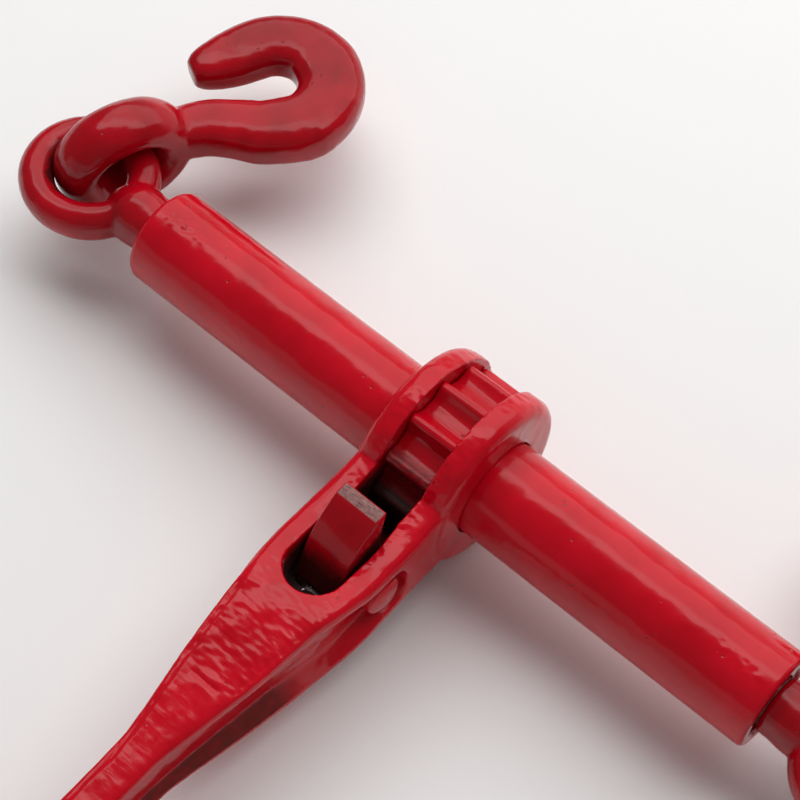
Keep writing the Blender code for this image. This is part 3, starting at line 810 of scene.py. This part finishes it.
def build_thread(side, material):
    """The screw behind the eye, seen when the binder is wound out."""
    sides = 40
    profile = ((0.0, THREAD_ROOT_R), (THREAD_FLANK, THREAD_CREST_R),
               (THREAD_FLANK + THREAD_CREST, THREAD_CREST_R),
               (2 * THREAD_FLANK + THREAD_CREST, THREAD_ROOT_R))
    per_turn = len(profile)
    rows = THREAD_TURNS * per_turn + 1
    bm = bmesh.new()

    def vertex(x, radius, k):
        angle = math.tau * k / sides
        return bm.verts.new((x, radius * math.cos(angle), radius * math.sin(angle)))

    grid = []
    for row in range(rows):
        offset, radius = profile[row % per_turn]
        base = THREAD_START_X + row // per_turn * LEAD + offset
        grid.append([vertex(base + LEAD * k / sides, radius, k) for k in range(sides)])
    first = [vertex(THREAD_START_X - LEAD / 4, THREAD_ROOT_R, k) for k in range(sides)]
    last = [vertex(SHOULDER_X, THREAD_ROOT_R, k) for k in range(sides)]
    for row in range(rows - 1):
        for k in range(sides - 1):
            bm.faces.new((grid[row][k], grid[row][k + 1], grid[row + 1][k + 1], grid[row + 1][k]))
        beside = row + per_turn
        if beside + 1 < rows:
            bm.faces.new((grid[row][-1], grid[beside][0], grid[beside + 1][0], grid[row + 1][-1]))
    for k in range(sides - 1):
        bm.faces.new((first[k], first[k + 1], grid[0][k + 1], grid[0][k]))
        bm.faces.new((grid[-1][k], grid[-1][k + 1], last[k + 1], last[k]))
    top = rows - 1
    start_fan = [first[0]] + [grid[row][0] for row in range(per_turn + 1)] + [grid[0][-1]]
    end_fan = [last[0], last[-1]] + [grid[row][-1] for row in range(top, top - per_turn - 1, -1)]
    for hub, fan in ((first[-1], start_fan), (grid[top][0], end_fan)):
        for one, two in zip(fan, fan[1:]):
            bm.faces.new((hub, one, two))
    bm.faces.new(first)
    previous = last
    for x, radius in ((SHOULDER_X, JOURNAL_R), (SCREW_END_X - 1.0 * MM, JOURNAL_R),
                      (SCREW_END_X, JOURNAL_R - 1.0 * MM)):
        ring = [vertex(x, radius, k) for k in range(sides)]
        for k in range(sides):
            bm.faces.new((previous[k], previous[(k + 1) % sides], ring[(k + 1) % sides], ring[k]))
        previous = ring
    bm.faces.new(previous)
    name = side_name(side)
    mesh = finish_bmesh(mirrored(bm, side), name + "_screw_thread")
    add_piece(name + "_screw_thread", shaded(mesh, 35), [material], name + "_screw")


def hook_stations():
    """u, v, half width and half thickness along the hook, in millimetres, shank to tip."""
    stations = [(28.0, 0.0, 7.6, 7.2), (34.0, -0.2, 8.4, 7.8), (40.0, -1.0, 9.2, 8.0),
                (46.0, -3.0, 9.6, 8.0), (51.0, -6.0, 10.0, 8.1), (56.5, -10.0, 10.6, 8.3),
                (62.0, -14.0, 11.2, 8.5)]
    for degrees in range(-90, 91, 15):
        angle = math.radians(degrees)
        toward_tip = max(0.0, math.sin(angle))
        stations.append((HOOK_BOWL[0] + HOOK_BOWL_R * math.cos(angle),
                         HOOK_BOWL[1] + HOOK_BOWL_R * math.sin(angle),
                         12.0 - 1.2 * toward_tip, 8.5 - 0.6 * toward_tip))
    return stations + [(68.0, 20.2, 10.4, 7.6), (62.0, 20.4, 9.4, 7.2), (57.0, 20.8, 8.0, 6.6),
                       (53.0, 21.0, 6.4, 5.6), (50.6, 21.2, 4.4, 4.0)]


def smoothed(rows, steps=3):
    """Rows resampled along a Catmull-Rom curve."""
    result = []
    last = len(rows) - 1
    for i in range(last):
        p0, p1, p2, p3 = (np.array(rows[min(max(k, 0), last)]) for k in (i - 1, i, i + 1, i + 2))
        for step in range(steps):
            t = step / steps
            result.append(tuple(0.5 * (2 * p1 + (p2 - p0) * t + (2 * p0 - 5 * p1 + 4 * p2 - p3) * t ** 2
                                       + (3 * p1 - p0 - 3 * p2 + p3) * t ** 3)))
    return result + [rows[-1]]


def build_hook(side, material):
    """Grab hook with its ring, which turns in the eye; the body's section is a rounded rectangle."""
    stations = smoothed(hook_stations())
    rings = []
    for i, (u, v, half_width, half_thickness) in enumerate(stations):
        ahead, behind = stations[min(i + 1, len(stations) - 1)], stations[max(i - 1, 0)]
        along = Vector((ahead[0] - behind[0], ahead[1] - behind[1])).normalized()
        ring = []
        for j in range(32):
            angle = math.tau * j / 32
            across = half_width * math.copysign(abs(math.cos(angle)) ** 0.72, math.cos(angle))
            rise = half_thickness * math.copysign(abs(math.sin(angle)) ** 0.72, math.sin(angle))
            ring.append(Vector((u - along.y * across, v + along.x * across, rise)) * MM)
        rings.append(ring)
    body = loft(rings)
    if side > 0:
        bmesh.ops.scale(body, vec=(1, -1, 1), verts=body.verts)
    ring = swept_ring(Vector((15.0 * MM, side * -1.2 * MM, 0)), (17.8 * MM, 14.2 * MM),
                      (7.2 * MM, 10.2 * MM), (Vector((1, 0, 0)), Vector((0, 0, 1))))
    name = side_name(side)
    mesh = forged(name + "_hook_forging", [body, ring], [], FITTING_VOXEL, 8)
    sculpt(mesh, fitting_height)
    add_piece(name + "_hook_forging", mesh, [material], name + "_hook", (name + "_grab_hook",),
              CENTRE + Vector((side * -HOOK_PIVOT_X, 0, 0)),
              (0, 0, math.radians(90 + side * HOOK_REST_DEG)))


def build_spring(material):
    """Coil behind the plunger."""
    low, high = (Vector(corner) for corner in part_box("plunger_spring"))
    wire, turns, steps = 0.6 * MM, 6, 24
    rings = []
    start, end = low.y + wire, high.y - wire
    middle = (low + high) / 2
    radius = 2.9 * MM
    for i in range(turns * steps + 1):
        angle = math.tau * i / steps
        outward = Vector((math.cos(angle), 0, math.sin(angle)))
        y = start + (end - start) * i / (turns * steps)
        point = Vector((middle.x, y, CENTRE.z)) + outward * radius
        rings.append([point + (outward * math.cos(t) + Vector((0, 1, 0)) * math.sin(t)) * wire
                      for t in (math.tau * j / 10 for j in range(10))])
    mesh = finish_bmesh(loft(rings), "spring_coil")
    coil = add_piece("spring_coil", shaded(mesh), [material], "handle", ("plunger_spring",),
                     (0, 0, 0))
    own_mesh(coil)


def dress_cad_nodes(material, *nodes):
    for node in nodes:
        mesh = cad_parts[node].data
        mesh.materials.clear()
        mesh.materials.append(material)


# ---------------------------------------------------------------- stage, light and camera

def build_stage():
    """Pale floor that curves up into a tall back."""
    outline = [(-2.60 + 3.9 * i / 10, 0.0) for i in range(11)]
    for step in range(1, 9):
        angle = math.pi / 2 * step / 8
        outline.append((1.30 + 0.5 * math.sin(angle), 0.5 - 0.5 * math.cos(angle)))
    outline.append((1.80, 1.15))
    bm = bmesh.new()
    rows = [[bm.verts.new((x, y, z - 0.001)) for y, z in outline] for x in (-2.6, 2.6)]
    for i in range(len(outline) - 1):
        bm.faces.new((rows[0][i], rows[1][i], rows[1][i + 1], rows[0][i + 1]))
    floor = new_object("floor", shaded(finish_bmesh(bm, "floor"), 60), (0, 0, 0))
    look = Look("pale_card")
    floor.data.materials.append(look.set(base_color=(*PALE_CARD, 1.0), roughness=0.9))


def add_softbox(name, position, target, size, power, glossy):
    light = bpy.data.lights.new(name, "AREA")
    light.shape = "RECTANGLE"
    light.size, light.size_y = size
    light.energy = power
    item = new_object(name, light, position)
    item.visible_glossy = glossy
    item.rotation_euler = (Vector(target) - Vector(position)).to_track_quat("-Z", "Y").to_euler()


def build_light():
    world = bpy.data.worlds.new("studio")
    bpy.context.scene.world = world
    world.use_nodes = True
    background = world.node_tree.nodes["Background"].inputs
    background["Color"].default_value = (1.0, 1.0, 1.0, 1.0)
    background["Strength"].default_value = WORLD_STRENGTH
    add_softbox("key", (-0.35, 0.95, 1.15), (-0.1, 0.1, 0.0), (2.4, 1.5), 11.5, True)
    add_softbox("key_edge", (-0.22, 0.51, 1.43), (-0.1, 0.1, 0.0), (2.4, 0.4), 2.6, True)
    add_softbox("key_bounce", (-0.3, 0.85, 1.3), (-0.1, 0.1, 0.0), (2.4, 1.5), 17.0, False)
    add_softbox("front_card", (-0.1, -1.05, 0.235), (-0.1, 0.1, 0.03), (2.4, 0.5), 1.1, True)
    add_softbox("front_bounce", (0.7, -1.1, 1.2), (0.0, 0.0, 0.0), (1.6, 1.6), 2.4, False)


def build_camera():
    azimuth, elevation = math.radians(CAMERA_AZIMUTH_DEG), math.radians(CAMERA_ELEVATION_DEG)
    back = Vector((math.sin(azimuth) * math.cos(elevation), -math.cos(azimuth) * math.cos(elevation),
                   math.sin(elevation)))
    right = Vector((0, 0, 1)).cross(back).normalized()
    up = back.cross(right)
    camera = bpy.data.cameras.new("camera")
    camera.sensor_width = SENSOR_MM
    camera.lens = LENS_MM
    camera.clip_start = 0.01
    item = new_object("camera", camera)
    placing = Matrix((right, up, back)).transposed().to_4x4()
    placing.translation = CENTRE + Vector(CAMERA_OFFSET)
    item.matrix_world = placing
    bpy.context.scene.camera = item
    bpy.context.scene.view_settings.view_transform = "Standard"


def main():
    build_camera()
    build_stage()
    build_light()
    fitting = fitting_look()
    handle_paint = handle_look()
    steel = steel_look("oiled_steel", STEEL, 0.7)
    tube_paint = barrel_look()
    build_barrel(tube_paint)
    build_gear(gear_look())
    build_handle(handle_paint)
    build_pawl(pawl_look(), worn_look())
    build_rivet(handle_paint)
    build_spring(steel_look("spring_wire", SPRING_STEEL, 0.3))
    for side in (-1, 1):
        build_eye(side, fitting)
        build_thread(side, steel)
        build_hook(side, fitting)
    blackened = steel_look("blackened_steel", BLACKENED_STEEL, 0.4, 0.5, 0.65, 0.2)
    dress_cad_nodes(blackened, "plunger")
    dress_cad_nodes(tube_paint, "left_end_nut", "right_end_nut")
    dress_cad_nodes(steel, "left_stop_washer", "right_stop_washer", "left_stop_pin", "right_stop_pin")


main()
